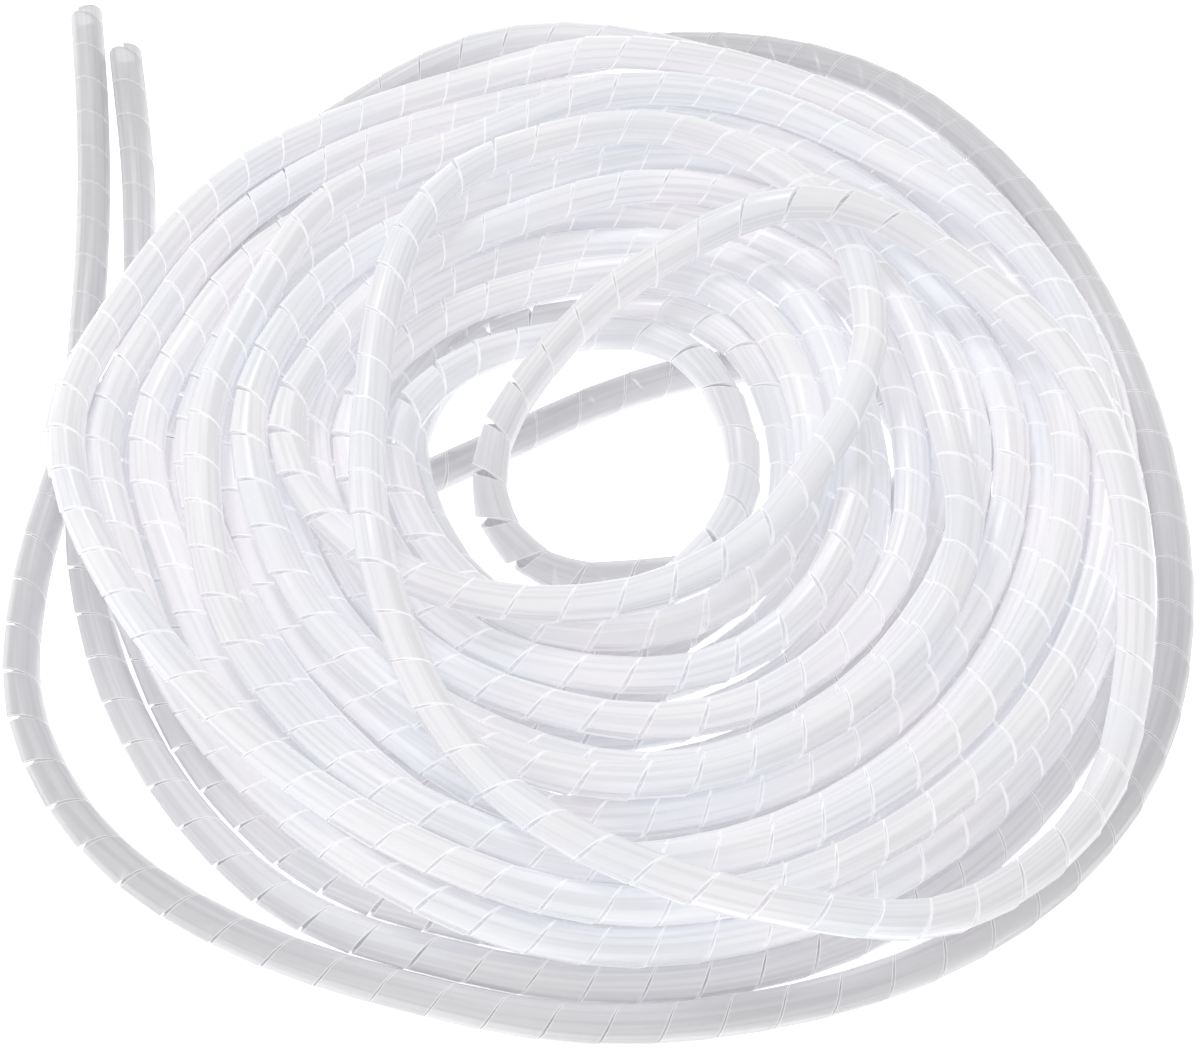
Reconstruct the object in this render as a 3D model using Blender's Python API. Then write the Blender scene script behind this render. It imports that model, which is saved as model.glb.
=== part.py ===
"""Spiral cable wrap: one long slit tube of soft polyethylene, lying as a loose hank of open turns.

The real piece is a single extruded tube, cut along a helix so that it winds onto a bundle of leads.
Here its outside is one plain tube along the whole real route: straight tail, turn after turn laid on
those below, down into the open middle, across the floor and out as the second tail.
Units are metres, +Z is up, and the floor is at z = 0.
"""

import math

import bmesh
import bpy
import numpy as np

# Driving dimensions
WRAP_OD = 0.006            # outer diameter of the wrap
SECTION_FLAT = 0.0020      # width of the flat along the tube's top and underside
LAYING_GAP = 0.0005        # clear space kept between one turn and the turn it lies on
BRIDGE_RADIUS = 0.036      # how sharply the tube bends down after passing over another turn
SETTLE_LENGTH = 0.009      # half the length over which a change of height is eased
RIM_REACH = 0.095          # how far out the rim's uneven shape holds in full
SECTION_SPACING = 0.011    # spacing of the tube's cross-sections
GUIDES_PER_TURN = 16       # points of each turn that the smooth route passes through
LAYING_STRETCH = 0.10      # length of wrap that is laid down at a time
SAMPLE_STEP = 0.0025       # spacing of the points that the laying rule works on
CURVE_STEPS = 40           # points that a smooth curve gets between two of its guides
SIDE_STEPS = np.linspace(-0.006, 0.006, 25)  # how far a turn may roll sideways off its planned way
STAY_ON_PLAN = 40.0        # how strongly a turn keeps to its planned way
ROLL_EASE = 6              # samples on each side over which a sideways roll is eased

# The first tail, from its free tip, and the lowest and widest turn, which it runs into on the floor
OUTER_TURN = [
    (-0.104, 0.112), (-0.100, 0.086), (-0.097, 0.060), (-0.0955, 0.036), (-0.095, 0.010),
    (-0.099, -0.022), (-0.0975, -0.046), (-0.089, -0.064), (-0.076, -0.078), (-0.057, -0.0895),
    (-0.033, -0.098), (-0.002, -0.104), (0.029, -0.101), (0.055, -0.092), (0.076, -0.077),
    (0.091, -0.056), (0.0985, -0.030), (0.0995, 0.000), (0.095, 0.028), (0.086, 0.054),
    (0.073, 0.076), (0.057, 0.092), (0.036, 0.101), (0.008, 0.102), (-0.025, 0.092),
    (-0.060, 0.066), (-0.084, 0.030),
]

# The turns of the hank, from the bottom one to the top one: the radius of each turn where it passes
# the right side, and how far to the right and to the back its middle lies there
TURNS = [
    (0.0955, -0.001, 0.000),
    (0.0875, -0.001, 0.001),
    (0.0800, 0.000, 0.001),
    (0.0727, 0.000, 0.001),
    (0.0655, 0.001, 0.001),
    (0.0583, 0.000, 0.001),
    (0.0511, -0.001, 0.001),
    (0.0440, -0.003, 0.001),
    (0.0370, -0.004, 0.000),
    (0.0305, -0.005, -0.001),
    (0.0365, -0.003, -0.001),
    (0.0425, -0.001, -0.002),
    (0.0500, 0.001, -0.003),
    (0.0575, 0.002, -0.004),
    (0.0655, 0.002, -0.004),
    (0.0735, 0.001, -0.003),
    (0.0815, 0.000, -0.001),
    (0.0895, -0.001, 0.003),
    (0.0830, 0.004, -0.003),
    (0.0720, 0.009, -0.009),
    (0.0610, 0.004, -0.004),
]

# The hank isn't round: how far out its rim lies, as a share of the radius, at directions that go
# round evenly from the left by the front
RIM_SHARES = (1.0, 0.96, 1.03, 1.035, 1.03, 1.02, 1.0, 1.02, 1.06, 1.045, 0.985, 0.95)

# The top two turns, which show whole, seen from above: from the left, round by the front
TOP_TURNS = [
    (-0.0515, -0.015), (-0.0395, -0.0272), (-0.0245, -0.0334), (-0.008, -0.0355), (0.010, -0.033),
    (0.026, -0.0245), (0.036, -0.011), (0.043, 0.002), (0.0475, 0.019), (0.0445, 0.038),
    (0.033, 0.055), (0.0125, 0.0645), (-0.008, 0.0635), (-0.0235, 0.0555), (-0.0335, 0.041),
    (-0.0385, 0.022), (-0.040, 0.003), (-0.0395, -0.015), (-0.037, -0.032), (-0.032, -0.047),
    (-0.025, -0.061), (-0.016, -0.072), (-0.006, -0.080), (0.006, -0.086), (0.020, -0.0905),
    (0.036, -0.092), (0.051, -0.090), (0.064, -0.084), (0.075, -0.075), (0.083, -0.063),
    (0.087, -0.049), (0.0885, -0.034), (0.0885, -0.018), (0.086, -0.003), (0.080, 0.012),
    (0.070, 0.025), (0.057, 0.035), (0.042, 0.041), (0.026, 0.0415), (0.011, 0.036),
    (-0.002, 0.027), (-0.0125, 0.0155),
]

# The inner end, from the left of the open middle down to the floor, under the right side, across
# the middle, under the left side and out beside the first tail to its free tip
INNER_END = [
    (-0.019, 0.002), (-0.0185, -0.012), (-0.008, -0.0215), (0.010, -0.0215), (0.029, -0.018),
    (0.047, -0.012), (0.056, 0.004), (0.046, 0.022), (0.020, 0.023), (-0.002, 0.015),
    (-0.020, 0.005), (-0.044, -0.006), (-0.070, -0.003), (-0.083, 0.017), (-0.0865, 0.045),
    (-0.0895, 0.070), (-0.095, 0.101),
]
FLOOR_SHARE_START = 3      # the point of the inner end from which it lies on the floor

BODY_COLOUR = (0.86, 0.87, 0.90, 1.0)
BODY_ROUGHNESS = 0.38
SHARP_ANGLE = math.radians(80)  # edges sharper than this are shaded sharp


def clear_scene():
    """Remove the objects that a new Blender scene starts with."""
    for item in list(bpy.data.objects):
        bpy.data.objects.remove(item, do_unlink=True)


def smooth_through(points, step):
    """Points every step along a smooth curve through points (a centripetal Catmull-Rom spline)."""
    points = np.asarray(points, float)
    ends = (2 * points[0] - points[1], 2 * points[-1] - points[-2])
    padded = np.vstack([ends[0], points, ends[1]])
    chords = np.sqrt(np.linalg.norm(np.diff(padded, axis=0), axis=1))
    knots = np.concatenate([[0.0], np.cumsum(chords)])
    fine = []
    for index in range(1, len(padded) - 2):
        k0, k1, k2, k3 = knots[index - 1:index + 3]
        p0, p1, p2, p3 = padded[index - 1:index + 3]
        t = np.linspace(k1, k2, CURVE_STEPS, endpoint=False)[:, None]
        a1 = (k1 - t) / (k1 - k0) * p0 + (t - k0) / (k1 - k0) * p1
        a2 = (k2 - t) / (k2 - k1) * p1 + (t - k1) / (k2 - k1) * p2
        a3 = (k3 - t) / (k3 - k2) * p2 + (t - k2) / (k3 - k2) * p3
        b1 = (k2 - t) / (k2 - k0) * a1 + (t - k0) / (k2 - k0) * a2
        b2 = (k3 - t) / (k3 - k1) * a2 + (t - k1) / (k3 - k1) * a3
        fine.append((k2 - t) / (k2 - k1) * b1 + (t - k1) / (k2 - k1) * b2)
    fine.append(points[-1:])
    return space_evenly(np.vstack(fine), step)


def space_evenly(path, step):
    """The same path with its points one step apart."""
    lengths = np.concatenate([[0.0], np.cumsum(np.linalg.norm(np.diff(path, axis=0), axis=1))])
    count = max(2, round(lengths[-1] / step) + 1)
    places = np.linspace(0.0, lengths[-1], count)
    return np.column_stack([np.interp(places, lengths, axis) for axis in path.T])


def ease_through(values, places):
    """Read a list of values at places between them, along a smooth curve (Catmull-Rom)."""
    places = np.clip(places, 0, len(values) - 1)
    index = np.minimum(places.astype(int), len(values) - 2)
    part = places - index
    before, here = values[np.maximum(index - 1, 0)], values[index]
    there, after = values[index + 1], values[np.minimum(index + 2, len(values) - 1)]
    leaving, arriving = (there - before) / 2, (after - here) / 2
    return (here * (1 + 2 * part) * (1 - part) ** 2 + there * part ** 2 * (3 - 2 * part)
            + leaving * part * (1 - part) ** 2 - arriving * part ** 2 * (1 - part))


def reach_at(turns):
    """How far the winding lies from the hank's middle after so many turns."""
    radius, right, back = (ease_through(column, turns - 0.5) for column in np.array(TURNS).T)
    angles = math.pi + 2 * math.pi * turns
    toward = right * np.cos(angles) + back * np.sin(angles)
    reach = toward + np.sqrt(radius ** 2 - right ** 2 - back ** 2 + toward ** 2)
    round_shares = np.array(RIM_SHARES[-1:] + RIM_SHARES + RIM_SHARES[:2])
    share = ease_through(round_shares, 1 + turns % 1 * len(RIM_SHARES))
    return reach * (1 + (share - 1) * reach / RIM_REACH)


def plan_route():
    """The whole route seen from above, and the places in it where the top turns and the floor begin."""
    whole_turns = len(TURNS)
    turns = np.linspace(0.0, whole_turns, whole_turns * GUIDES_PER_TURN + 1)
    angles = math.pi + 2 * math.pi * turns
    reaches = reach_at(turns)
    winding = np.column_stack([reaches * np.cos(angles), reaches * np.sin(angles)])
    guides = np.vstack([OUTER_TURN, winding, TOP_TURNS, INNER_END])
    route = smooth_through(guides, SAMPLE_STEP)
    second_half = len(route) // 2
    places = []
    for point in (TOP_TURNS[0], INNER_END[FLOOR_SHARE_START]):
        away = np.linalg.norm(route[second_half:] - np.array(point), axis=1)
        places.append(second_half + int(away.argmin()))
    return route, places[0], places[1]


def ease_over(heights, lowest):
    """Bend the tube stiffly over what it lies on: never lower than heights, and with no kinks."""
    reach = math.ceil(math.sqrt(2 * BRIDGE_RADIUS * (heights.max() - lowest)) / SAMPLE_STEP) + 1
    bent = heights.copy()
    for shift in range(1, min(reach, len(heights) - 1)):
        drop = (shift * SAMPLE_STEP) ** 2 / (2 * BRIDGE_RADIUS)
        bent[shift:] = np.maximum(bent[shift:], heights[:-shift] - drop)
        bent[:-shift] = np.maximum(bent[:-shift], heights[shift:] - drop)
    half = round(SETTLE_LENGTH / SAMPLE_STEP)
    padded = np.pad(bent, half, mode="edge")
    eased = np.convolve(padded, np.full(2 * half + 1, 1 / (2 * half + 1)), mode="valid")
    rounding = SETTLE_LENGTH ** 2 / (6 * BRIDGE_RADIUS)
    return np.where(eased > lowest + rounding / 10, eased + rounding, lowest)


def height_over(places, laid):
    """The lowest height at which a tube at each place just clears the laid tubes below it."""
    spacing = WRAP_OD + LAYING_GAP
    flat = places.reshape(-1, 2)
    reach = flat.min(axis=0) - spacing, flat.max(axis=0) + spacing
    close = laid[np.all((laid[:, :2] > reach[0]) & (laid[:, :2] < reach[1]), axis=1)]
    if not len(close):
        return np.full(places.shape[:-1], WRAP_OD / 2)
    across = np.square(flat[:, None, :] - close[None, :, :2]).sum(axis=2)
    room = spacing ** 2 - across
    heights = np.where(room > 0, close[:, 2] + np.sqrt(np.maximum(room, 0)), WRAP_OD / 2)
    return heights.max(axis=1).reshape(places.shape[:-1])


def easiest_way(heights, start):
    """Which sideways step to take at each point, for the lowest way that bends only a little.

    heights has a row for each point along the route and a column for each sideways step; the way
    starts from column start and moves by one column at most from point to point.
    """
    strain = STAY_ON_PLAN * np.square(SIDE_STEPS)
    total = np.full(len(SIDE_STEPS), np.inf)
    total[start] = 0.0
    came_from = []
    for row in heights:
        moves = np.array([np.r_[np.inf, total[:-1]], total, np.r_[total[1:], np.inf]])
        best = moves.argmin(axis=0)
        came_from.append(np.arange(len(total)) + best - 1)
        total = moves.min(axis=0) + row + strain
    way = [int(total.argmin())]
    for back in reversed(came_from):
        way.append(int(back[way[-1]]))
    return way[::-1][1:]


def level_sides(route):
    """The level direction square to the route at each of its points."""
    along = np.gradient(route[:, :2], axis=0)
    along /= np.linalg.norm(along, axis=1, keepdims=True)
    return np.column_stack([along[:, 1], -along[:, 0]])


def lay_turns(route, top_start, landing):
    """The route in space: each stretch lies on the floor or on what was laid before it.

    The stretch from landing to the second tail lies on the floor first, and the rest follows in
    order from the first tail. Up to the top turns, each stretch rolls sideways into the lowest
    groove near its planned way. It is lifted until it just clears the turns that it crosses.
    """
    lowest = WRAP_OD / 2
    raw = np.full(len(route), lowest)
    path = np.column_stack([route, raw])
    sideways = level_sides(route)
    batch = round(LAYING_STRETCH / SAMPLE_STEP)
    middle = len(SIDE_STEPS) // 2
    steps = np.full(len(route), middle)
    window = np.ones(2 * ROLL_EASE + 1) / (2 * ROLL_EASE + 1)
    for start in range(batch, landing, batch):
        stop = min(start + batch, landing)
        ahead = min(start + 2 * batch, landing)
        floor_share = landing if stop < landing - batch else landing + batch // 2
        laid = np.vstack([path[:start - batch // 2], path[floor_share:]])
        here = slice(start, ahead)
        options = route[here, None, :] + SIDE_STEPS[:, None] * sideways[here, None, :]
        steps[here] = easiest_way(height_over(options, laid), steps[start - 1])
        steps[top_start:] = middle
        shifts = np.convolve(np.pad(SIDE_STEPS[steps], ROLL_EASE, mode="edge"), window, mode="valid")
        path[start:stop, :2] = route[start:stop] + shifts[start:stop, None] * sideways[start:stop]
        raw[start:stop] = height_over(path[start:stop, :2], laid)
        path[:, 2] = ease_over(raw, lowest)
    return path


def centre_line():
    """The middle of the tube along its whole length, standing over the origin."""
    path = lay_turns(*plan_route())
    reach = WRAP_OD / 2 * level_sides(path)
    edges = np.vstack([path[:, :2] + reach, path[:, :2] - reach])
    path[:, :2] -= (edges.min(axis=0) + edges.max(axis=0)) / 2
    return path


def section_outline():
    """The six corners of the plain tube's section, as steps sideways and up from its middle."""
    half, flat = WRAP_OD / 2, SECTION_FLAT / 2
    return [(half, 0), (flat, half), (-flat, half), (-half, 0), (-flat, -half), (flat, -half)]


def sweep_tube(name, path):
    """A closed tube of the section along path, its flats kept level, with a flat face on each end."""
    mesh = bpy.data.meshes.new(name)
    shape = bmesh.new()
    upright = np.array([0.0, 0.0, 1.0])
    tangents = np.gradient(path, axis=0)
    tangents /= np.linalg.norm(tangents, axis=1, keepdims=True)
    rings = []
    for point, tangent in zip(path, tangents):
        sideways = np.cross(tangent, upright)
        sideways /= np.linalg.norm(sideways)
        over = np.cross(sideways, tangent)
        corners = [point + sideways * across + over * up for across, up in section_outline()]
        rings.append([shape.verts.new(corner) for corner in corners])
    for ring, following in zip(rings, rings[1:]):
        for index in range(len(ring)):
            other = (index + 1) % len(ring)
            shape.faces.new((ring[index], ring[other], following[other], following[index]))
    shape.faces.new(rings[0][::-1])
    shape.faces.new(rings[-1])
    bmesh.ops.recalc_face_normals(shape, faces=shape.faces)
    shape.to_mesh(mesh)
    shape.free()
    mesh.shade_smooth()
    mesh.set_sharp_from_angle(angle=SHARP_ANGLE)
    tube = bpy.data.objects.new(name, mesh)
    bpy.context.scene.collection.objects.link(tube)
    return tube


def wrap_material():
    """Milky natural polyethylene."""
    material = bpy.data.materials.new("natural_polyethylene")
    material.use_nodes = True
    shader = material.node_tree.nodes["Principled BSDF"]
    shader.inputs["Base Color"].default_value = BODY_COLOUR
    shader.inputs["Roughness"].default_value = BODY_ROUGHNESS
    shader.inputs["Metallic"].default_value = 0.0
    return material


def build_wrap():
    """Make the whole wrap as one solid."""
    path = space_evenly(centre_line(), SECTION_SPACING)
    wrap = sweep_tube("spiral_wrap", path)
    wrap.data.materials.append(wrap_material())
    return wrap


clear_scene()
build_wrap()
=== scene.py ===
# %% [markdown]
# A hank of spiral cable wrap, rebuilt as it lies
#
# This lesson builds the looks of one real object: about ten metres of soft slit tube that winds
# onto a bundle of leads. Everything here is in metres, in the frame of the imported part.
# The part's own solid gives the route. This script draws the real helical cut and the milky
# plastic over it.

import math

import bpy
import numpy as np
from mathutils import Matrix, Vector


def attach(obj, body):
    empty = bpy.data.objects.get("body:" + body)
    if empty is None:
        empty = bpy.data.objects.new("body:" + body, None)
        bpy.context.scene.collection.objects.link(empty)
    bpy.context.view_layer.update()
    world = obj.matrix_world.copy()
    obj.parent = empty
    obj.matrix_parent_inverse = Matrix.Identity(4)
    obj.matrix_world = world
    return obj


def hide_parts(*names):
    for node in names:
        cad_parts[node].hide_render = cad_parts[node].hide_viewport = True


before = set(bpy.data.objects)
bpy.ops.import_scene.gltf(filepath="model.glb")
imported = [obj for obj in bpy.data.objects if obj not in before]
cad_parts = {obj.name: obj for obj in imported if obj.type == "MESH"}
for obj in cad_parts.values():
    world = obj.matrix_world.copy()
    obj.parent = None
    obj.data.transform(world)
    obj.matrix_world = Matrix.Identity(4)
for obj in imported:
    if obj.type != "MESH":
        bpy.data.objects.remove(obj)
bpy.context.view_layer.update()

# %% [markdown]
# The camera
#
# The hank was photographed from high above its front edge. A long lens from about half a metre
# gives the same slight narrowing towards the back. An empty could be tracked instead, but a
# direction worked out from two points keeps the camera free of constraints.

# %% Set the camera where the photograph was taken from
IMAGE_WIDTH = 1200          # pixels of the photograph
FOCAL_PIXELS = 2580         # focal length in those pixels
SENSOR_WIDTH = 36.0         # mm
CAMERA_HEIGHT_ANGLE = math.radians(57)
CAMERA_DISTANCE = 0.457
LOOKS_AT = Vector((0.0017, -0.0121, 0.0))

camera_data = bpy.data.cameras.new("camera")
camera_data.sensor_width = SENSOR_WIDTH
camera_data.lens = FOCAL_PIXELS / IMAGE_WIDTH * SENSOR_WIDTH
camera = bpy.data.objects.new("camera", camera_data)
toward_camera = Vector((0.0, -math.cos(CAMERA_HEIGHT_ANGLE), math.sin(CAMERA_HEIGHT_ANGLE)))
camera.location = LOOKS_AT + CAMERA_DISTANCE * toward_camera
camera.rotation_euler = (-toward_camera).to_track_quat("-Z", "Y").to_euler()
bpy.context.scene.collection.objects.link(camera)
bpy.context.scene.camera = camera
print("camera at", camera.location, "lens", round(camera_data.lens, 1), "mm")

# %% [markdown]
# The route, seen from above
#
# The wrap is one length from free tip to free tip. The first tail runs into the lowest and widest
# turn. Then come the turns of the hank, the two on top that show whole, and the inner end, which
# drops into the open middle and leaves under the hank. These are the same points as in the part's
# source. A pasted list of every point would also do, but guides and a smooth curve stay readable.

# %% The sizes of the wrap and of the rule that lays it down
WRAP_OD = 0.006             # outer diameter of the wrap
LAYING_GAP = 0.0005         # clear space kept between one turn and the turn it lies on
BRIDGE_RADIUS = 0.036       # how sharply the tube bends down after passing over another turn
SETTLE_LENGTH = 0.009       # half the length over which a change of height is eased
RIM_REACH = 0.095           # how far out the rim's uneven shape holds in full
GUIDES_PER_TURN = 16        # points of each turn that the smooth route passes through
LAYING_STRETCH = 0.10       # length of wrap that is laid down at a time
SAMPLE_STEP = 0.0025        # spacing of the points that the laying rule works on
CURVE_STEPS = 40            # points that a smooth curve gets between two of its guides
SIDE_STEPS = np.linspace(-0.006, 0.006, 25)  # how far a turn may roll off its planned way
STAY_ON_PLAN = 40.0         # how strongly a turn keeps to its planned way
ROLL_EASE = 6               # samples on each side over which a sideways roll is eased
print("tube of", WRAP_OD * 1000, "mm")

# %% The first tail and the widest turn
OUTER_TURN = [
    (-0.104, 0.112), (-0.100, 0.086), (-0.097, 0.060), (-0.0955, 0.036), (-0.095, 0.010),
    (-0.099, -0.022), (-0.0975, -0.046), (-0.089, -0.064), (-0.076, -0.078), (-0.057, -0.0895),
    (-0.033, -0.098), (-0.002, -0.104), (0.029, -0.101), (0.055, -0.092), (0.076, -0.077),
    (0.091, -0.056), (0.0985, -0.030), (0.0995, 0.000), (0.095, 0.028), (0.086, 0.054),
    (0.073, 0.076), (0.057, 0.092), (0.036, 0.101), (0.008, 0.102), (-0.025, 0.092),
    (-0.060, 0.066), (-0.084, 0.030),
]
print("outer turn:", len(OUTER_TURN), "points")

# %% The turns of the hank: radius at the right side, and how far right and back its middle lies
TURNS = [
    (0.0955, -0.001, 0.000),
    (0.0875, -0.001, 0.001),
    (0.0800, 0.000, 0.001),
    (0.0727, 0.000, 0.001),
    (0.0655, 0.001, 0.001),
    (0.0583, 0.000, 0.001),
    (0.0511, -0.001, 0.001),
    (0.0440, -0.003, 0.001),
    (0.0370, -0.004, 0.000),
    (0.0305, -0.005, -0.001),
    (0.0365, -0.003, -0.001),
    (0.0425, -0.001, -0.002),
    (0.0500, 0.001, -0.003),
    (0.0575, 0.002, -0.004),
    (0.0655, 0.002, -0.004),
    (0.0735, 0.001, -0.003),
    (0.0815, 0.000, -0.001),
    (0.0895, -0.001, 0.003),
    (0.0830, 0.004, -0.003),
    (0.0720, 0.009, -0.009),
    (0.0610, 0.004, -0.004),
]

# how far out the rim lies, as a share of the radius, round from the left by the front
RIM_SHARES = (1.0, 0.96, 1.03, 1.035, 1.03, 1.02, 1.0, 1.02, 1.06, 1.045, 0.985, 0.95)
print("turns of the hank:", len(TURNS))

# %% The two turns on top
TOP_TURNS = [
    (-0.0515, -0.015), (-0.0395, -0.0272), (-0.0245, -0.0334), (-0.008, -0.0355), (0.010, -0.033),
    (0.026, -0.0245), (0.036, -0.011), (0.043, 0.002), (0.0475, 0.019), (0.0445, 0.038),
    (0.033, 0.055), (0.0125, 0.0645), (-0.008, 0.0635), (-0.0235, 0.0555), (-0.0335, 0.041),
    (-0.0385, 0.022), (-0.040, 0.003), (-0.0395, -0.015), (-0.037, -0.032), (-0.032, -0.047),
    (-0.025, -0.061), (-0.016, -0.072), (-0.006, -0.080), (0.006, -0.086), (0.020, -0.0905),
    (0.036, -0.092), (0.051, -0.090), (0.064, -0.084), (0.075, -0.075), (0.083, -0.063),
    (0.087, -0.049), (0.0885, -0.034), (0.0885, -0.018), (0.086, -0.003), (0.080, 0.012),
    (0.070, 0.025), (0.057, 0.035), (0.042, 0.041), (0.026, 0.0415), (0.011, 0.036),
    (-0.002, 0.027), (-0.0125, 0.0155),
]
print("top turns:", len(TOP_TURNS), "points")

# %% The inner end
INNER_END = [
    (-0.019, 0.002), (-0.0185, -0.012), (-0.008, -0.0215), (0.010, -0.0215), (0.029, -0.018),
    (0.047, -0.012), (0.056, 0.004), (0.046, 0.022), (0.020, 0.023), (-0.002, 0.015),
    (-0.020, 0.005), (-0.044, -0.006), (-0.070, -0.003), (-0.083, 0.017), (-0.0865, 0.045),
    (-0.0895, 0.070), (-0.095, 0.101),
]
FLOOR_SHARE_START = 3       # the point of the inner end from which it lies on the floor
print("inner end:", len(INNER_END), "points")

# %% [markdown]
# A smooth curve through guides
#
# A soft tube never runs in straight pieces and arcs. A Catmull-Rom spline passes through every
# guide with no corners, and even spacing afterwards keeps the laying rule simple.

# %% Curves through guides
def smooth_through(points, step):
    """Points every step along a smooth curve through points (a centripetal Catmull-Rom spline)."""
    points = np.asarray(points, float)
    ends = (2 * points[0] - points[1], 2 * points[-1] - points[-2])
    padded = np.vstack([ends[0], points, ends[1]])
    chords = np.sqrt(np.linalg.norm(np.diff(padded, axis=0), axis=1))
    knots = np.concatenate([[0.0], np.cumsum(chords)])
    fine = []
    for index in range(1, len(padded) - 2):
        k0, k1, k2, k3 = knots[index - 1:index + 3]
        p0, p1, p2, p3 = padded[index - 1:index + 3]
        t = np.linspace(k1, k2, CURVE_STEPS, endpoint=False)[:, None]
        a1 = (k1 - t) / (k1 - k0) * p0 + (t - k0) / (k1 - k0) * p1
        a2 = (k2 - t) / (k2 - k1) * p1 + (t - k1) / (k2 - k1) * p2
        a3 = (k3 - t) / (k3 - k2) * p2 + (t - k2) / (k3 - k2) * p3
        b1 = (k2 - t) / (k2 - k0) * a1 + (t - k0) / (k2 - k0) * a2
        b2 = (k3 - t) / (k3 - k1) * a2 + (t - k1) / (k3 - k1) * a3
        fine.append((k2 - t) / (k2 - k1) * b1 + (t - k1) / (k2 - k1) * b2)
    fine.append(points[-1:])
    return space_evenly(np.vstack(fine), step)


def space_evenly(path, step):
    """The same path with its points one step apart."""
    lengths = np.concatenate([[0.0], np.cumsum(np.linalg.norm(np.diff(path, axis=0), axis=1))])
    count = max(2, round(lengths[-1] / step) + 1)
    places = np.linspace(0.0, lengths[-1], count)
    return np.column_stack([np.interp(places, lengths, axis) for axis in path.T])


def ease_through(values, places):
    """Read a list of values at places between them, along a smooth curve (Catmull-Rom)."""
    places = np.clip(places, 0, len(values) - 1)
    index = np.minimum(places.astype(int), len(values) - 2)
    part = places - index
    before, here = values[np.maximum(index - 1, 0)], values[index]
    there, after = values[index + 1], values[np.minimum(index + 2, len(values) - 1)]
    leaving, arriving = (there - before) / 2, (after - here) / 2
    return (here * (1 + 2 * part) * (1 - part) ** 2 + there * part ** 2 * (3 - 2 * part)
            + leaving * part * (1 - part) ** 2 - arriving * part ** 2 * (1 - part))


print("a curve through three guides:", len(smooth_through(OUTER_TURN[:3], SAMPLE_STEP)), "points")

# %% The plan of the whole route
def reach_at(turns):
    """How far the winding lies from the hank's middle after so many turns."""
    radius, right, back = (ease_through(column, turns - 0.5) for column in np.array(TURNS).T)
    angles = math.pi + 2 * math.pi * turns
    toward = right * np.cos(angles) + back * np.sin(angles)
    reach = toward + np.sqrt(radius ** 2 - right ** 2 - back ** 2 + toward ** 2)
    round_shares = np.array(RIM_SHARES[-1:] + RIM_SHARES + RIM_SHARES[:2])
    share = ease_through(round_shares, 1 + turns % 1 * len(RIM_SHARES))
    return reach * (1 + (share - 1) * reach / RIM_REACH)


def plan_route():
    """The whole route seen from above, and the places in it where the top turns and the floor begin."""
    whole_turns = len(TURNS)
    turns = np.linspace(0.0, whole_turns, whole_turns * GUIDES_PER_TURN + 1)
    angles = math.pi + 2 * math.pi * turns
    reaches = reach_at(turns)
    winding = np.column_stack([reaches * np.cos(angles), reaches * np.sin(angles)])
    guides = np.vstack([OUTER_TURN, winding, TOP_TURNS, INNER_END])
    route = smooth_through(guides, SAMPLE_STEP)
    second_half = len(route) // 2
    places = []
    for point in (TOP_TURNS[0], INNER_END[FLOOR_SHARE_START]):
        away = np.linalg.norm(route[second_half:] - np.array(point), axis=1)
        places.append(second_half + int(away.argmin()))
    return route, places[0], places[1]


route, top_start, landing = plan_route()
print("route:", len(route), "points,", round(len(route) * SAMPLE_STEP, 2), "m")

# %% [markdown]
# Laying the turns down
#
# Where turns cross, one has to rise over the other. A rope simulation could find these heights,
# but it is slow and never comes out twice the same. The rule here lays the wrap down a stretch at
# a time: it rolls each stretch into the lowest groove near its planned way, and lifts it until it
# just clears what it crosses. A stiff tube can't kink, so each hump is long and low.

# %% How high a stretch lies on those below it
def ease_over(heights, lowest):
    """Bend the tube stiffly over what it lies on: never lower than heights, and with no kinks."""
    reach = math.ceil(math.sqrt(2 * BRIDGE_RADIUS * (heights.max() - lowest)) / SAMPLE_STEP) + 1
    bent = heights.copy()
    for shift in range(1, min(reach, len(heights) - 1)):
        drop = (shift * SAMPLE_STEP) ** 2 / (2 * BRIDGE_RADIUS)
        bent[shift:] = np.maximum(bent[shift:], heights[:-shift] - drop)
        bent[:-shift] = np.maximum(bent[:-shift], heights[shift:] - drop)
    half = round(SETTLE_LENGTH / SAMPLE_STEP)
    padded = np.pad(bent, half, mode="edge")
    eased = np.convolve(padded, np.full(2 * half + 1, 1 / (2 * half + 1)), mode="valid")
    rounding = SETTLE_LENGTH ** 2 / (6 * BRIDGE_RADIUS)
    return np.where(eased > lowest + rounding / 10, eased + rounding, lowest)


def height_over(places, laid):
    """The lowest height at which a tube at each place just clears the laid tubes below it."""
    spacing = WRAP_OD + LAYING_GAP
    flat = places.reshape(-1, 2)
    reach = flat.min(axis=0) - spacing, flat.max(axis=0) + spacing
    close = laid[np.all((laid[:, :2] > reach[0]) & (laid[:, :2] < reach[1]), axis=1)]
    if not len(close):
        return np.full(places.shape[:-1], WRAP_OD / 2)
    across = np.square(flat[:, None, :] - close[None, :, :2]).sum(axis=2)
    room = spacing ** 2 - across
    heights = np.where(room > 0, close[:, 2] + np.sqrt(np.maximum(room, 0)), WRAP_OD / 2)
    return heights.max(axis=1).reshape(places.shape[:-1])


print("rise of one turn over another:", WRAP_OD + LAYING_GAP, "m")

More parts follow.
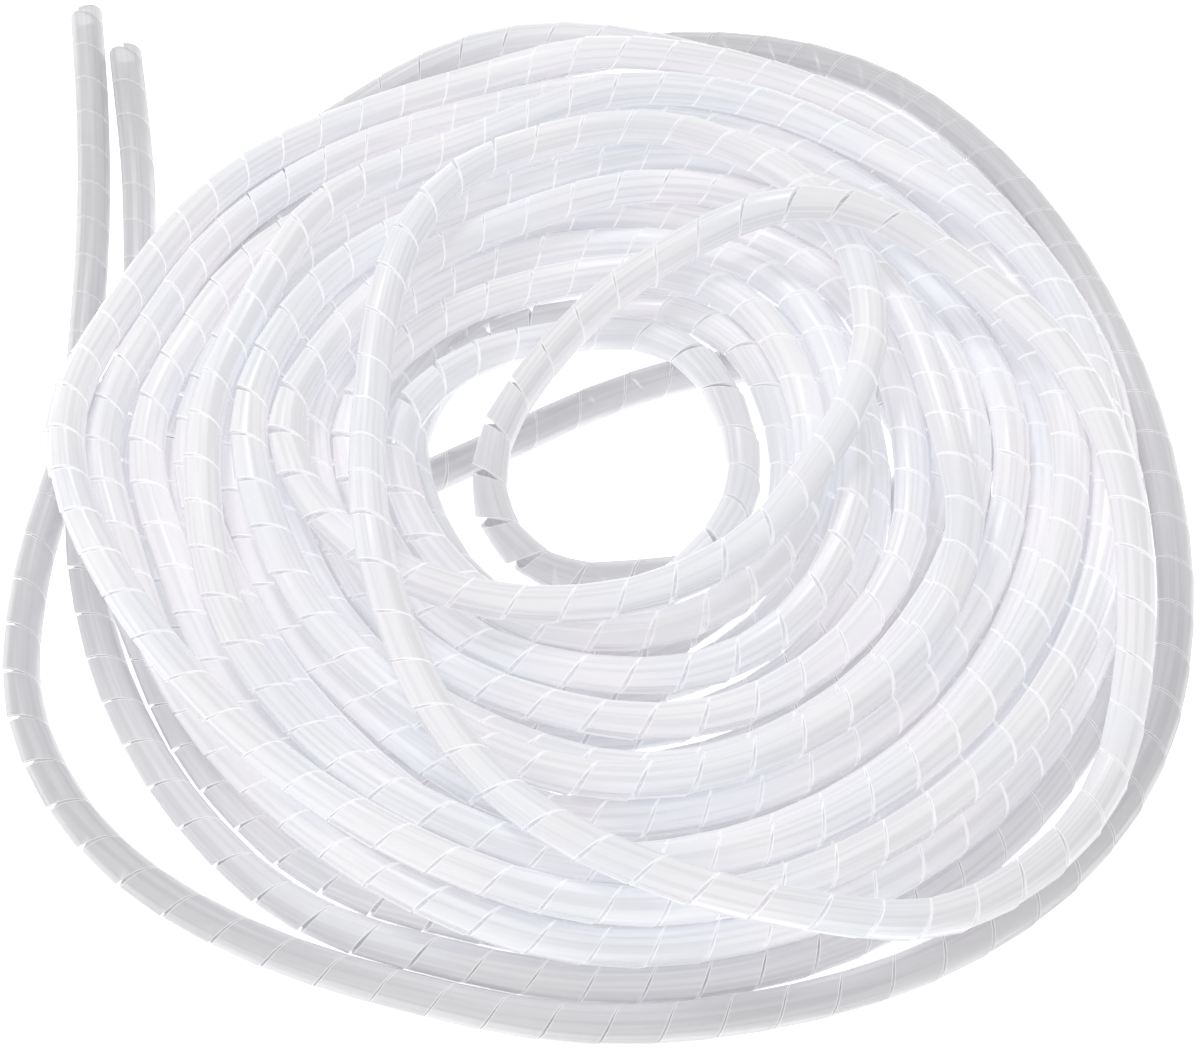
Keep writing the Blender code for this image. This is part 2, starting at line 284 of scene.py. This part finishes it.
# %% The sideways way that lies lowest
def easiest_way(heights, start):
    """Which sideways step to take at each point, for the lowest way that bends only a little.

    heights has a row for each point along the route and a column for each sideways step; the way
    starts from column start and moves by one column at most from point to point.
    """
    strain = STAY_ON_PLAN * np.square(SIDE_STEPS)
    total = np.full(len(SIDE_STEPS), np.inf)
    total[start] = 0.0
    came_from = []
    for row in heights:
        moves = np.array([np.r_[np.inf, total[:-1]], total, np.r_[total[1:], np.inf]])
        best = moves.argmin(axis=0)
        came_from.append(np.arange(len(total)) + best - 1)
        total = moves.min(axis=0) + row + strain
    way = [int(total.argmin())]
    for back in reversed(came_from):
        way.append(int(back[way[-1]]))
    return way[::-1][1:]


def level_sides(route):
    """The level direction square to the route at each of its points."""
    along = np.gradient(route[:, :2], axis=0)
    along /= np.linalg.norm(along, axis=1, keepdims=True)
    return np.column_stack([along[:, 1], -along[:, 0]])


print("sideways steps:", len(SIDE_STEPS))

# %% Lay the whole wrap
def lay_turns(route, top_start, landing):
    """The route in space: each stretch lies on the floor or on what was laid before it.

    The stretch from landing to the second tail lies on the floor first, and the rest follows in
    order from the first tail. Up to the top turns, each stretch rolls sideways into the lowest
    groove near its planned way. It is lifted until it just clears the turns that it crosses.
    """
    lowest = WRAP_OD / 2
    raw = np.full(len(route), lowest)
    path = np.column_stack([route, raw])
    sideways = level_sides(route)
    batch = round(LAYING_STRETCH / SAMPLE_STEP)
    middle = len(SIDE_STEPS) // 2
    steps = np.full(len(route), middle)
    window = np.ones(2 * ROLL_EASE + 1) / (2 * ROLL_EASE + 1)
    for start in range(batch, landing, batch):
        stop = min(start + batch, landing)
        ahead = min(start + 2 * batch, landing)
        floor_share = landing if stop < landing - batch else landing + batch // 2
        laid = np.vstack([path[:start - batch // 2], path[floor_share:]])
        here = slice(start, ahead)
        options = route[here, None, :] + SIDE_STEPS[:, None] * sideways[here, None, :]
        steps[here] = easiest_way(height_over(options, laid), steps[start - 1])
        steps[top_start:] = middle
        shifts = np.convolve(np.pad(SIDE_STEPS[steps], ROLL_EASE, mode="edge"), window, mode="valid")
        path[start:stop, :2] = route[start:stop] + shifts[start:stop, None] * sideways[start:stop]
        raw[start:stop] = height_over(path[start:stop, :2], laid)
        path[:, 2] = ease_over(raw, lowest)
    return path


def centre_line():
    """The middle of the tube along its whole length, standing over the origin."""
    path = lay_turns(*plan_route())
    reach = WRAP_OD / 2 * level_sides(path)
    edges = np.vstack([path[:, :2] + reach, path[:, :2] - reach])
    path[:, :2] -= (edges.min(axis=0) + edges.max(axis=0)) / 2
    return path


tube_line = centre_line()
print("highest middle of the tube:", round(float(tube_line[:, 2].max()), 4), "m")

# %% [markdown]
# The helical cut
#
# The real tube is cut along a left-hand helix as it leaves the die, so what lies here is one flat
# band wound on itself. A plain tube with a cut texture would look painted, and cutting ten metres
# of tube with a boolean would be slow and ragged. So the band itself is drawn, section by section,
# round and round the route. On the outside of each bend its turns part a little, as real ones do.

# %% Sizes of the band
VISIBLE_OD = 0.00635        # a shade over the solid's, so that turns look pressed together
WALL = 0.0008               # thickness of the tube's wall
CUT_PITCH = 0.009           # distance along the tube in which the cut goes round once
HAIRLINE = 0.00012          # the least opening of the cut
OPENING_SHARE = 0.75        # how much of a bend the cuts take up by opening
EDGE_LIFT = 0.00030         # how far a band's edge stands proud on the outside of a sharp bend
SHARP_BEND = 0.06           # stretch of the outside that counts as a sharp bend
TIP_SLANT = 0.0007          # half of how far the first tip is cut askew
STRAIGHTNESS = 0.6          # 1 for a band that stays straight between its cuts, 0 for one that bends
SIDES = 16                  # sections in one turn of the band
OUTSIDE = (0.0, 0.5, 1.0)   # where the band's outer points lie across its width
INSIDE = (1.0, 0.0)         # and its inner points
print("sections:", SIDES, "in a turn of the band, every", CUT_PITCH * 1000, "mm")

# %% Directions and bends along the line
BEND_EASE = 4               # points on each side over which the bend is smoothed


def unit(rows):
    """The same vectors, one long."""
    return rows / np.linalg.norm(rows, axis=1, keepdims=True)


def directions_along(line):
    """Distance along the line, and the directions ahead, sideways, over and into the bend."""
    steps = np.linalg.norm(np.diff(line, axis=0), axis=1)
    distance = np.concatenate([[0.0], np.cumsum(steps)])
    ahead = unit(np.gradient(line, axis=0))
    sideways = unit(np.column_stack([ahead[:, 1], -ahead[:, 0], np.zeros(len(line))]))
    over = np.cross(sideways, ahead)
    window = np.ones(2 * BEND_EASE + 1) / (2 * BEND_EASE + 1)
    turning = np.gradient(ahead, distance, axis=0)
    bend = np.column_stack([np.convolve(axis, window, mode="same") for axis in turning.T])
    return distance, sideways, over, bend


distance, sideways, over, bend = directions_along(tube_line)
tube_length = float(distance[-1])
print("length:", round(tube_length, 3), "m, tightest bend:",
      round(1 / float(np.linalg.norm(bend, axis=1).max()), 3), "m")

# %% [markdown]
# How crowded each stretch lies
#
# A lone strand of this milky plastic lets light through and looks grey. In the heap, light is
# handed from strand to strand and comes back white. Counting the length of the strands that lie
# beside and below each point gives a value that the material can use to put this grey and white
# into its colour as painted shade and painted light, and it stays with the object.

# %% Measure the crowding along the line
NEIGHBOUR_REACH = 0.020     # how near a strand has to lie to count
OWN_SHARE = 12              # samples on each side that belong to the same stretch
LONE_LENGTH = 0.03          # neighbouring strand length that still counts as lone
CROWDED_LENGTH = 0.17       # neighbouring strand length that counts as a full heap
CROWD_EASE = 6              # samples on each side over which the count is smoothed


def crowding_along(line):
    """From 0 for a lone stretch to 1 for one deep in the heap, at each point of the line."""
    found = np.zeros(len(line))
    for index, point in enumerate(line):
        near = np.square(line - point).sum(axis=1) < NEIGHBOUR_REACH ** 2
        near &= line[:, 2] < point[2] + WRAP_OD / 2
        near[max(0, index - OWN_SHARE):index + OWN_SHARE + 1] = False
        found[index] = near.sum() * SAMPLE_STEP
    window = np.ones(2 * CROWD_EASE + 1) / (2 * CROWD_EASE + 1)
    eased = np.convolve(np.pad(found, CROWD_EASE, mode="edge"), window, mode="valid")
    return np.clip((eased - LONE_LENGTH) / (CROWDED_LENGTH - LONE_LENGTH), 0.0, 1.0)


crowding = crowding_along(tube_line)
print("crowding from", crowding.min().round(2), "to", crowding.max().round(2))

# %% Sections of the band
def read_along(values, places):
    """Values kept along the line, read at distances between its points."""
    if values.ndim == 1:
        return np.interp(places, distance, values)
    return np.stack([np.interp(places, distance, axis) for axis in values.T], axis=-1)


def band_sections():
    """For each section: its angle, where the band starts and how wide it is along the line."""
    count = int(tube_length / CUT_PITCH * SIDES)
    index = np.arange(-SIDES, count)
    angle = 2 * math.pi * index / SIDES
    middle = np.clip((index / SIDES + 0.5) * CUT_PITCH, 0, tube_length)
    outward = (np.cos(angle)[:, None] * read_along(sideways, middle)
               + np.sin(angle)[:, None] * read_along(over, middle))
    bend_here = OPENING_SHARE * read_along(bend, middle)
    stretch = 1 - VISIBLE_OD / 2 * (outward * bend_here).sum(axis=1)
    squeezed = CUT_PITCH * (1 - VISIBLE_OD / 2 * np.linalg.norm(bend_here, axis=1)) - HAIRLINE
    width = squeezed / stretch
    start = (index / SIDES + 0.5) * CUT_PITCH - width / 2
    return angle, start, width, stretch


angle, start, width, stretch = band_sections()
print("sections:", len(angle), "widest opening:", round(float(CUT_PITCH - width.min()) * 1000, 2), "mm")

# %% Points of the band
def band_points():
    """Corners of every section, with how far along the line and across the band each lies."""
    across = np.array(OUTSIDE + INSIDE)
    depth = np.array([0.0] * len(OUTSIDE) + [WALL] * len(INSIDE))
    slant = TIP_SLANT * (1 + np.cos(angle))
    ends = np.clip(start, slant, tube_length), np.clip(start + width, slant, tube_length)
    kept = ends[1] - ends[0] > HAIRLINE
    first, last = ends[0][kept, None], ends[1][kept, None]
    turn = angle[kept, None]
    places = first + (last - first) * across
    lift = EDGE_LIFT * np.clip((stretch[kept, None] - 1) / SHARP_BEND, 0, 1) * (across - 0.5)
    radius = (VISIBLE_OD / 2 - depth + lift)[..., None]
    outward = np.cos(turn)[..., None] * read_along(sideways, places)
    outward = outward + np.sin(turn)[..., None] * read_along(over, places)
    points = read_along(tube_line, places) + radius * outward
    middle = len(OUTSIDE) // 2
    chord = (points[:, 0] + points[:, len(OUTSIDE) - 1]) / 2
    points[:, middle] += STRAIGHTNESS * (chord - points[:, middle])
    return points, places, np.broadcast_to(across, places.shape), np.broadcast_to(turn, places.shape)


points, places, across, turn = band_points()
print("points:", points.shape)

# %% Join the points into one closed band
SKIN, BORE, CUT_FACE = 0, 1, 2
FINISH_OF_SIDE = [SKIN] * (len(OUTSIDE) - 1) + [CUT_FACE] + [BORE] * (len(INSIDE) - 1) + [CUT_FACE]
HEAP_STEP = 3               # added to a finish's number for the same finish in the heap
HEAP_FROM = 0.58            # crowding from which nothing shows through a stretch
CREASE = math.radians(50)   # edges turned more sharply are not smoothed


def band_faces(sections, corners, in_heap):
    """Quads between neighbouring sections and a face on each end, with the finish of each."""
    faces = []
    finishes = []
    for section in range(sections - 1):
        base = section * corners
        for corner in range(corners):
            following = (corner + 1) % corners
            faces.append((base + corner, base + following,
                          base + corners + following, base + corners + corner))
            finishes.append(FINISH_OF_SIDE[corner] + HEAP_STEP * in_heap[section])
    last = (sections - 1) * corners
    faces.append(tuple(range(corners - 1, -1, -1)))
    faces.append(tuple(range(last, last + corners)))
    finishes += [CUT_FACE, CUT_FACE]
    return faces, finishes


def keep_values(mesh, name, values):
    """Store one number per point on the mesh for its material to read."""
    layer = mesh.attributes.new(name, "FLOAT", "POINT")
    layer.data.foreach_set("value", np.ascontiguousarray(values, dtype=np.float32).ravel())


sections, corners = points.shape[:2]
band_crowding = read_along(crowding, places)
in_heap = (band_crowding.mean(axis=1) > HEAP_FROM).astype(int).tolist()
faces, finishes = band_faces(sections, corners, in_heap)
wrap_mesh = bpy.data.meshes.new("helical_band")
wrap_mesh.from_pydata(points.reshape(-1, 3).tolist(), [], faces)
wrap_mesh.polygons.foreach_set("material_index", finishes)
keep_values(wrap_mesh, "along", places)
keep_values(wrap_mesh, "across", across)
keep_values(wrap_mesh, "round", turn % (2 * math.pi))
keep_values(wrap_mesh, "crowding", band_crowding)
wrap_mesh.shade_smooth()
wrap_mesh.set_sharp_from_angle(angle=CREASE)
wrap = bpy.data.objects.new("helical_wrap", wrap_mesh)
bpy.context.scene.collection.objects.link(wrap)
print("triangles:", sum(len(face) - 2 for face in faces), "share in the heap:", round(np.mean(in_heap), 2))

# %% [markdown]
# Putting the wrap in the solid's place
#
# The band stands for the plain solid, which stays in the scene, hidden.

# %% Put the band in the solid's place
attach(wrap, "root")
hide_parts("spiral_wrap")
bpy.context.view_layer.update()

# %% [markdown]
# Milky plastic
#
# Natural polyethylene has no pigment. It is cloudy, softly glossy, and light spreads inside it.
# Its look is made of a few effects, each a small node group that all of its finishes use: the
# skin of the tube, its bore and the fresh face of the cut. One long material with every effect
# inside would do too, but its parts could not be used again elsewhere.

# %% A helper for node groups
def start_group(name, inputs, outputs):
    """A new shader node group with named sockets, and its ends."""
    group = bpy.data.node_groups.new(name, "ShaderNodeTree")
    for label, kind, value in inputs:
        socket = group.interface.new_socket(label, in_out="INPUT", socket_type=kind)
        socket.default_value = value
    for label, kind in outputs:
        group.interface.new_socket(label, in_out="OUTPUT", socket_type=kind)
    entry = group.nodes.new("NodeGroupInput")
    result = group.nodes.new("NodeGroupOutput")
    return group, entry, result


def add_math(group, operation, first, second):
    """A Math node; each of its inputs is a socket or a number."""
    node = group.nodes.new("ShaderNodeMath")
    node.operation = operation
    for socket, value in zip(node.inputs, (first, second)):
        if isinstance(value, bpy.types.NodeSocket):
            group.links.new(value, socket)
        else:
            socket.default_value = value
    return node.outputs[0]


def add_mix(group, share, first, second):
    """Mix two colours by a share; each is a socket or a value."""
    node = group.nodes.new("ShaderNodeMix")
    node.data_type = "RGBA"
    for name, value in (("Factor_Float", share), ("A_Color", first), ("B_Color", second)):
        socket = next(one for one in node.inputs if one.identifier == name)
        if isinstance(value, bpy.types.NodeSocket):
            group.links.new(value, socket)
        else:
            socket.default_value = value
    return next(one for one in node.outputs if one.identifier == "Result_Color")


NUMBER, COLOUR = "NodeSocketFloat", "NodeSocketColor"
print("helpers for node groups are ready")

# %% Painted shade and light by crowding: grey where the strand lies alone, white in the heap, with faint cool patches
PATCH_EDGES = (0.42, 0.62)  # noise values between which a patch fades in


def make_crowd_shade_and_patch_tint():
    """A colour that goes from the painted shade of a lone strand to the painted light of the heap, with
    patches from cloudy noise.
    """
    group, entry, result = start_group("crowd shade and patch tint", [
        ("Crowding", NUMBER, 1.0), ("Along", NUMBER, 0.0),
        ("Lone Shaded Colour", COLOUR, (0.6, 0.6, 0.6, 1)), ("Heap Lit Colour", COLOUR, (0.85, 0.85, 0.87, 1)),
        ("Patch Colour", COLOUR, (0.8, 0.85, 0.9, 1)), ("Patch Size", NUMBER, 12.0),
        ("Patch Amount", NUMBER, 0.5), ("Patch Change", NUMBER, 3.0)], [("Color", COLOUR)])
    place = group.nodes.new("ShaderNodeTexCoord")
    shift = group.nodes.new("ShaderNodeCombineXYZ")
    change = add_math(group, "MULTIPLY", entry.outputs["Along"], entry.outputs["Patch Change"])
    group.links.new(change, shift.inputs["Z"])
    moved = group.nodes.new("ShaderNodeVectorMath")
    group.links.new(place.outputs["Object"], moved.inputs[0])
    group.links.new(shift.outputs["Vector"], moved.inputs[1])
    cloud = group.nodes.new("ShaderNodeTexNoise")
    cloud.inputs["Detail"].default_value = 0.0
    group.links.new(moved.outputs["Vector"], cloud.inputs["Vector"])
    group.links.new(entry.outputs["Patch Size"], cloud.inputs["Scale"])
    patches = group.nodes.new("ShaderNodeMapRange")
    patches.inputs["From Min"].default_value = PATCH_EDGES[0]
    patches.inputs["From Max"].default_value = PATCH_EDGES[1]
    group.links.new(cloud.outputs["Fac"], patches.inputs["Value"])
    amount = add_math(group, "MULTIPLY", patches.outputs["Result"], entry.outputs["Patch Amount"])
    heap = add_mix(group, amount, entry.outputs["Heap Lit Colour"], entry.outputs["Patch Colour"])
    colour = add_mix(group, entry.outputs["Crowding"], entry.outputs["Lone Shaded Colour"], heap)
    group.links.new(colour, result.inputs["Color"])
    return group


crowd_shade_and_patch_tint = make_crowd_shade_and_patch_tint()
print("group:", crowd_shade_and_patch_tint.name)

# %% Cut rim: a mask along both edges of the band, where the painted highlight of the cut's edges goes
def make_cut_rim():
    """A mask that is 1 at both edges of the band and fades out over the rim's width."""
    group, entry, result = start_group("cut rim", [
        ("Across", NUMBER, 0.5), ("Rim Width", NUMBER, 0.05)], [("Mask", NUMBER)])
    off_middle = add_math(group, "ABSOLUTE", add_math(group, "SUBTRACT", entry.outputs["Across"], 0.5), 0.0)
    from_edge = add_math(group, "SUBTRACT", 0.5, off_middle)
    share = add_math(group, "DIVIDE", from_edge, entry.outputs["Rim Width"])
    mask = group.nodes.new("ShaderNodeMapRange")
    mask.interpolation_type = "SMOOTHSTEP"
    mask.inputs["To Min"].default_value = 1.0
    mask.inputs["To Max"].default_value = 0.0
    group.links.new(share, mask.inputs["Value"])
    group.links.new(mask.outputs["Result"], result.inputs["Mask"])
    return group


cut_rim = make_cut_rim()
print("group:", cut_rim.name)

# %% Drawn lines: the die's faint lines along the tube, clearer and duller by turns
LINE_DRIFT = 6.0            # how fast the lines wander, against their fineness round the tube
GLOSS_EDGES = (0.38, 0.62)  # noise values between which the skin goes from smooth to worn
STREAK_EDGES = (0.44, 0.60)


def make_drawn_skin():
    """Noise drawn out along the tube, as a height, a roughness and a share of streak."""
    group, entry, result = start_group("drawn skin", [
        ("Around", NUMBER, 0.0), ("Along", NUMBER, 0.0), ("Line Count", NUMBER, 9.0),
        ("Smooth", NUMBER, 0.3), ("Worn", NUMBER, 0.5)],
        [("Height", NUMBER), ("Roughness", NUMBER), ("Streaks", NUMBER)])
    where = group.nodes.new("ShaderNodeCombineXYZ")
    group.links.new(add_math(group, "SINE", entry.outputs["Around"], 0.0), where.inputs["X"])
    group.links.new(add_math(group, "COSINE", entry.outputs["Around"], 0.0), where.inputs["Y"])
    group.links.new(add_math(group, "MULTIPLY", entry.outputs["Along"], LINE_DRIFT), where.inputs["Z"])
    lines = group.nodes.new("ShaderNodeTexNoise")
    lines.inputs["Detail"].default_value = 0.0
    group.links.new(where.outputs["Vector"], lines.inputs["Vector"])
    group.links.new(entry.outputs["Line Count"], lines.inputs["Scale"])
    worn = group.nodes.new("ShaderNodeMapRange")
    worn.inputs["From Min"].default_value = GLOSS_EDGES[0]
    worn.inputs["From Max"].default_value = GLOSS_EDGES[1]
    group.links.new(lines.outputs["Fac"], worn.inputs["Value"])
    group.links.new(entry.outputs["Smooth"], worn.inputs["To Min"])
    group.links.new(entry.outputs["Worn"], worn.inputs["To Max"])
    streaks = group.nodes.new("ShaderNodeMapRange")
    streaks.inputs["From Min"].default_value = STREAK_EDGES[0]
    streaks.inputs["From Max"].default_value = STREAK_EDGES[1]
    group.links.new(lines.outputs["Fac"], streaks.inputs["Value"])
    group.links.new(streaks.outputs["Result"], result.inputs["Streaks"])
    group.links.new(lines.outputs["Fac"], result.inputs["Height"])
    group.links.new(worn.outputs["Result"], result.inputs["Roughness"])
    return group


drawn_skin = make_drawn_skin()
print("group:", drawn_skin.name)

# %% [markdown]
# Three finishes of one plastic, alone and in the heap
#
# The skin is satin, the bore is duller, and the cut face is a touch whiter, because the blade
# leaves it rough. A lone strand is see-through: part of the light goes straight through each
# wall, least where the wall is seen edge on, so the far side of the cut shows. In the heap
# nothing is left of what lies behind, and a painted glow stands in for the light that spreads
# inside the plastic. True scattering inside would give both, but through twenty layers it renders
# slowly.

# %% Colours, streaks and glow of the plastic
PLASTIC_IOR = 1.51
RIM_WIDTH = 0.020           # share of the band's width that is bright rim, on each side
# white for the cut face's whitening, and for the painted highlight along the cut's edges
CUT_WHITE_AND_RIM_HIGHLIGHT = (1.0, 1.0, 1.0, 1)
STREAK_COLOUR = (0.58, 0.58, 0.62, 1)
STREAK_SHARE = 0.30         # how much of the streak's colour the clearer streaks show
# painted shade and light: a lone strand is coloured greyer and the heap whiter, for light that passes
# through one strand and comes back from many
LONE_SHADED_COLOUR = (0.80, 0.79, 0.81, 1)
HEAP_LIT_COLOUR = (0.915, 0.898, 0.925, 1)
PATCH_COLOUR = (0.865, 0.890, 0.935, 1)
PATCHES = {"Patch Size": 15.0, "Patch Amount": 0.8, "Patch Change": 3.0}
# painted glow, for light that spreads inside the plastic
LONE_GLOW = 0.03            # inner glow of a lone strand; the finishes give the heap's own
# glow of the painted highlight along the cut's edges
RIM_GLOW = 0.36
print("colour of a lone strand:", LONE_SHADED_COLOUR[:3], "and in the heap:", HEAP_LIT_COLOUR[:3])

# %% Put groups and stored values into a material
def place_group(tree, group, values):
    """Put a node group in a material with its own values."""
    node = tree.nodes.new("ShaderNodeGroup")
    node.node_tree = group
    for name, value in values.items():
        node.inputs[name].default_value = value
    return node


def read_value(tree, name):
    """A node that reads a value stored on the mesh."""
    node = tree.nodes.new("ShaderNodeAttribute")
    node.attribute_name = name
    return node.outputs["Fac"]


print("helpers for materials are ready")

# %% See-through walls of a lone strand
RIM_FILL = 0.4              # how much of the plastic's clearness the bright rim takes away
EDGE_BLEND = 0.35           # how soon a wall that is seen edge on gets cloudier


def let_through(tree, shader, crowded, rim_mask, cloudiness):
    """Make a lone strand's wall see-through, less so towards the heap and at the cut's rims."""
    share = add_math(tree, "DIVIDE", crowded, HEAP_FROM)
    steep = tree.nodes.new("ShaderNodeLayerWeight")
    steep.inputs["Blend"].default_value = EDGE_BLEND
    thin = add_math(tree, "SUBTRACT", 1.0, steep.outputs["Facing"])
    clear = add_math(tree, "MULTIPLY", add_math(tree, "SUBTRACT", 1.0, share), 1 - cloudiness)
    clear = add_math(tree, "MULTIPLY", clear, thin)
    rim = add_math(tree, "SUBTRACT", 1.0, add_math(tree, "MULTIPLY", rim_mask, RIM_FILL))
    alpha = add_math(tree, "SUBTRACT", 1.0, add_math(tree, "MULTIPLY", clear, rim))
    alpha.node.use_clamp = True
    tree.links.new(alpha, shader.inputs["Alpha"])


print("see-through up to a crowding of", HEAP_FROM)

# %% One finish from the groups
def make_plastic(name, whiter, skin, glow, rim_highlight_share, relief, cloudiness=None):
    """One finish of the milky plastic; with a cloudiness, light also goes straight through it.

    whiter is how far the cut has whitened it, glow its painted inner glow in the heap, the rim share
    how much of the painted highlight along the cut's edges it shows, and relief the height of its lines.
    """
    material = bpy.data.materials.new(name)
    material.use_nodes = True
    tree = material.node_tree
    shader = tree.nodes["Principled BSDF"]
    shader.inputs["IOR"].default_value = PLASTIC_IOR
    shader.inputs["Emission Strength"].default_value = 1.0
    material.cycles.emission_sampling = "NONE"
    crowded, along = read_value(tree, "crowding"), read_value(tree, "along")
    surface = place_group(tree, drawn_skin, skin)
    tree.links.new(read_value(tree, "round"), surface.inputs["Around"])
    tree.links.new(along, surface.inputs["Along"])
    tree.links.new(surface.outputs["Roughness"], shader.inputs["Roughness"])
    body = place_group(tree, crowd_shade_and_patch_tint, {
        "Lone Shaded Colour": LONE_SHADED_COLOUR, "Heap Lit Colour": HEAP_LIT_COLOUR, "Patch Colour": PATCH_COLOUR, **PATCHES})
    tree.links.new(crowded, body.inputs["Crowding"])
    tree.links.new(along, body.inputs["Along"])
    rim = place_group(tree, cut_rim, {"Rim Width": RIM_WIDTH})
    tree.links.new(read_value(tree, "across"), rim.inputs["Across"])
    streaked = add_mix(tree, add_math(tree, "MULTIPLY", surface.outputs["Streaks"], STREAK_SHARE),
                       body.outputs["Color"], STREAK_COLOUR)
    whitened = add_mix(tree, whiter, streaked, CUT_WHITE_AND_RIM_HIGHLIGHT)
    # the cut's edges get a painted highlight: white in the base colour here and a glow in the emission
    # below
    shine = add_math(tree, "MULTIPLY", rim.outputs["Mask"], rim_highlight_share)
    colour = add_mix(tree, shine, whitened, CUT_WHITE_AND_RIM_HIGHLIGHT)
    tree.links.new(colour, shader.inputs["Base Color"])
    # the emission is a painted glow, stronger in the heap, for light that spreads inside the plastic
    strengths = (LONE_GLOW, glow, RIM_GLOW)
    lone_glow, heap_glow, rim_glow = [(value, value, value, 1) for value in strengths]
    body_glow = add_mix(tree, crowded, lone_glow, heap_glow)
    tree.links.new(add_mix(tree, shine, body_glow, rim_glow), shader.inputs["Emission Color"])
    bump = tree.nodes.new("ShaderNodeBump")
    bump.inputs["Distance"].default_value = relief
    tree.links.new(surface.outputs["Height"], bump.inputs["Height"])
    tree.links.new(bump.outputs["Normal"], shader.inputs["Normal"])
    if cloudiness is not None:
        let_through(tree, shader, crowded, rim.outputs["Mask"], cloudiness)
    return material


print("groups in each finish:", [group.name for group in (drawn_skin, crowd_shade_and_patch_tint, cut_rim)])

# %% The finishes, first for a lone strand and then for the heap
SATIN = {"Line Count": 4.0, "Smooth": 0.28, "Worn": 0.46}
DULL = {"Line Count": 4.0, "Smooth": 0.42, "Worn": 0.55}
SLICED = {"Line Count": 12.0, "Smooth": 0.50, "Worn": 0.65}
LINE_RELIEF = 0.0001
SLICE_RELIEF = 0.00005

finishes_made = [
    make_plastic("lone skin", whiter=0.0, skin=SATIN, glow=0.15, rim_highlight_share=0.74, relief=LINE_RELIEF,
                 cloudiness=0.50),
    make_plastic("lone bore", whiter=0.0, skin=DULL, glow=0.17, rim_highlight_share=0.25, relief=LINE_RELIEF,
                 cloudiness=0.50),
    make_plastic("lone cut face", whiter=0.2, skin=SLICED, glow=0.17, rim_highlight_share=0.1, relief=SLICE_RELIEF,
                 cloudiness=0.60),
    make_plastic("heap skin", whiter=0.0, skin=SATIN, glow=0.15, rim_highlight_share=0.72, relief=LINE_RELIEF),
    make_plastic("heap bore", whiter=0.0, skin=DULL, glow=0.17, rim_highlight_share=0.0, relief=LINE_RELIEF),
    make_plastic("heap cut face", whiter=0.5, skin=SLICED, glow=0.17, rim_highlight_share=0.0, relief=SLICE_RELIEF),
]
for finish in finishes_made:
    wrap_mesh.materials.append(finish)
print("finishes:", [finish.name for finish in finishes_made])

# %% [markdown]
# Floor and light
#
# The photograph is a bright product shot on pure white: the light is soft and comes from all
# round, with wide panels that draw long pale streaks along the tubes. Stronger lamps on a plain
# white floor could give the same white, but they would take the greys out of the plastic too.
# So the floor glows a little itself, and the lamps stay weak.

# %% A white floor
FLOOR_SIZE = 6.0            # wide enough to fill the picture from low sides too
FLOOR_DROP = 0.0003         # below the proud edges of the band
FLOOR_GLOW = 0.72
FLOOR_COLOUR = (0.9, 0.9, 0.9, 1)
FLOOR_ROUGHNESS = 0.9

floor_mesh = bpy.data.meshes.new("floor")
half = FLOOR_SIZE / 2
floor_corners = [(-half, -half, 0), (half, -half, 0), (half, half, 0), (-half, half, 0)]
floor_mesh.from_pydata(floor_corners, [], [(0, 1, 2, 3)])
floor = bpy.data.objects.new("floor", floor_mesh)
floor.location.z = -FLOOR_DROP
bpy.context.scene.collection.objects.link(floor)
floor_finish = bpy.data.materials.new("white table")
floor_finish.use_nodes = True
floor_shader = floor_finish.node_tree.nodes["Principled BSDF"]
floor_shader.inputs["Base Color"].default_value = FLOOR_COLOUR
floor_shader.inputs["Roughness"].default_value = FLOOR_ROUGHNESS
floor_shader.inputs["Specular IOR Level"].default_value = 0.0
floor_shader.inputs["Emission Color"].default_value = (1, 1, 1, 1)
floor_shader.inputs["Emission Strength"].default_value = FLOOR_GLOW
floor_mesh.materials.append(floor_finish)
print("floor:", FLOOR_SIZE, "m wide")

# %% Soft light from all round
SKY_STRENGTH = 0.53
# each panel: its name, its place, its width and height, and its power in watts
PANELS = (
    ("back panel", (-0.35, 0.60, 0.85), 0.34, 0.22, 2.4),
    ("front panel", (0.10, -0.95, 0.70), 0.60, 0.40, 0.9),
    ("left panel", (-0.85, -0.20, 0.60), 0.22, 0.40, 0.9),
    ("top panel", (0.20, -0.10, 1.00), 0.5, 0.5, 0.5),
)


def add_panel(name, place, wide, tall, power):
    """A soft light panel that faces the hank."""
    light = bpy.data.lights.new(name, "AREA")
    light.shape = "RECTANGLE"
    light.size = wide
    light.size_y = tall
    light.energy = power
    panel = bpy.data.objects.new(name, light)
    panel.location = place
    panel.rotation_euler = Vector(place).to_track_quat("Z", "Y").to_euler()
    bpy.context.scene.collection.objects.link(panel)


for panel in PANELS:
    add_panel(*panel)
world = bpy.data.worlds.new("white room")
world.use_nodes = True
world.node_tree.nodes["Background"].inputs["Color"].default_value = (1.0, 1.0, 1.0, 1)
world.node_tree.nodes["Background"].inputs["Strength"].default_value = SKY_STRENGTH
bpy.context.scene.world = world
bpy.context.scene.view_settings.view_transform = "Standard"
print("panels:", len(PANELS))
